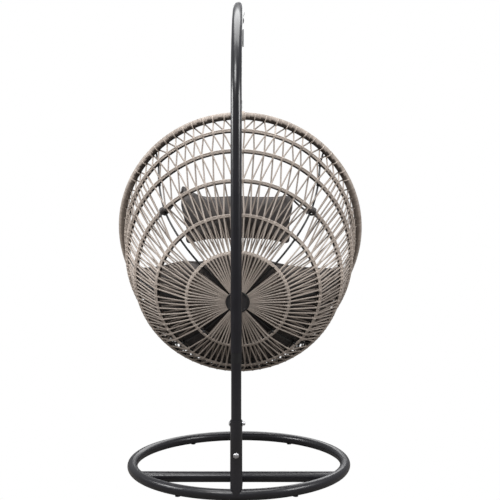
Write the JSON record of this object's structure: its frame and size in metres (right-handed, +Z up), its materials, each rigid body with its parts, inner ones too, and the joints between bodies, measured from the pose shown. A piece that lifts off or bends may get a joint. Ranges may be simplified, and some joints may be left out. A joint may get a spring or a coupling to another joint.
{
  "type": "hanging egg chair",
  "caption": "Woven egg-shaped basket chair with cushions, hung by a spring, chain and snap hook from a bent tube stand with a round base.",
  "frame": {"origin": "on the floor, under the middle of the base ring", "axes": "+Z up, +Y from the post towards the open front of the basket, +X to the right seen from behind"},
  "size_m": [1.082, 0.9388, 1.9508],
  "materials": {
    "stand": "charcoal powder coat, satin",
    "frame": "black powder coat, satin",
    "hanger": "black coated steel",
    "zinc": "zinc plated",
    "plastic": "matte black",
    "rubber": "matte black",
    "strand": "round woven polyethylene strand, greige",
    "cushion": "woven polyester, dark grey"
  },
  "bodies": {
    "stand": {"base_ring": "stand", "base_cross_bar": "stand", "base_spine": "stand", "base_glides": "rubber", "post_socket": "stand", "lower_post": "stand", "post_collar": "plastic", "socket_bolts": "zinc", "socket_nuts": "zinc", "arch_tube": "stand", "arch_end_cap": "plastic", "arch_eye": "stand"},
    "spring_top": {"spring_top_eye": "hanger", "spring_coil": "hanger"},
    "spring_end": {"spring_bottom_eye": "hanger"},
    "chain": {"chain_link_1": "hanger", "chain_link_2": "hanger", "chain_link_3": "hanger", "chain_link_4": "hanger", "chain_link_5": "hanger"},
    "end_link": {"chain_link_6": "hanger"},
    "hook": {"snap_hook": "hanger", "gate_pin": "zinc"},
    "gate": {"snap_hook_gate": "zinc"},
    "basket": {"rim_eye": "frame", "rim_tube": "frame", "rim_binding": "strand", "hub_ring": "frame", "hub_plate": "frame", "ribs": "frame", "hoop_1": "frame", "hoop_2": "frame", "hoop_3": "frame", "hoop_4": "frame", "hoop_5": "frame", "binding_1": "strand", "binding_2": "strand", "binding_3": "strand", "binding_4": "strand", "binding_5": "strand", "weave_1": "strand", "weave_2": "strand", "weave_3": "strand", "weave_4": "strand", "weave_5": "strand", "weave_6": "strand", "seat_cushion": "cushion", "head_pillow": "cushion", "pillow_ties": "cushion"}
  },
  "joints": [
    {"name": "swing_fore_aft", "type": "hinge", "parent": "stand", "child": "spring_top", "pos_m": [0, 0.034, 1.8713], "axis": [1, 0, 0], "range_deg": [-4, 12]},
    {"name": "spring_stretch", "type": "slide", "parent": "spring_top", "child": "spring_end", "axis": [0, 0, -1], "range_m": [0, 0.04], "stiffness_N_per_m": 20000, "springref_m": -0.02, "deforming": ["spring_coil"]},
    {"name": "swing_side", "type": "hinge", "parent": "spring_end", "child": "chain", "pos_m": [0, 0.034, 1.7481], "axis": [0, 1, 0], "range_deg": [-8, 8]},
    {"name": "basket_tilt", "type": "hinge", "parent": "chain", "child": "end_link", "pos_m": [0, 0.034, 1.5821], "axis": [1, 0, 0], "range_deg": [-2, 10]},
    {"name": "chair_turn", "type": "hinge", "parent": "end_link", "child": "hook", "pos_m": [0, 0.034, 1.5549], "axis": [0, 0, 1], "range_deg": [-20, 20]},
    {"name": "hook_gate", "type": "hinge", "parent": "hook", "child": "gate", "pos_m": [0.0095, 0.034, 1.5414], "axis": [0, 1, 0], "range_deg": [0, 25], "stiffness_Nm_per_rad": 0.02, "springref_deg": -11.46},
    {"name": "basket_side_tilt", "type": "hinge", "parent": "hook", "child": "basket", "pos_m": [0, 0.034, 1.5182], "axis": [0, 1, 0], "range_deg": [-5, 5]}
  ]
}
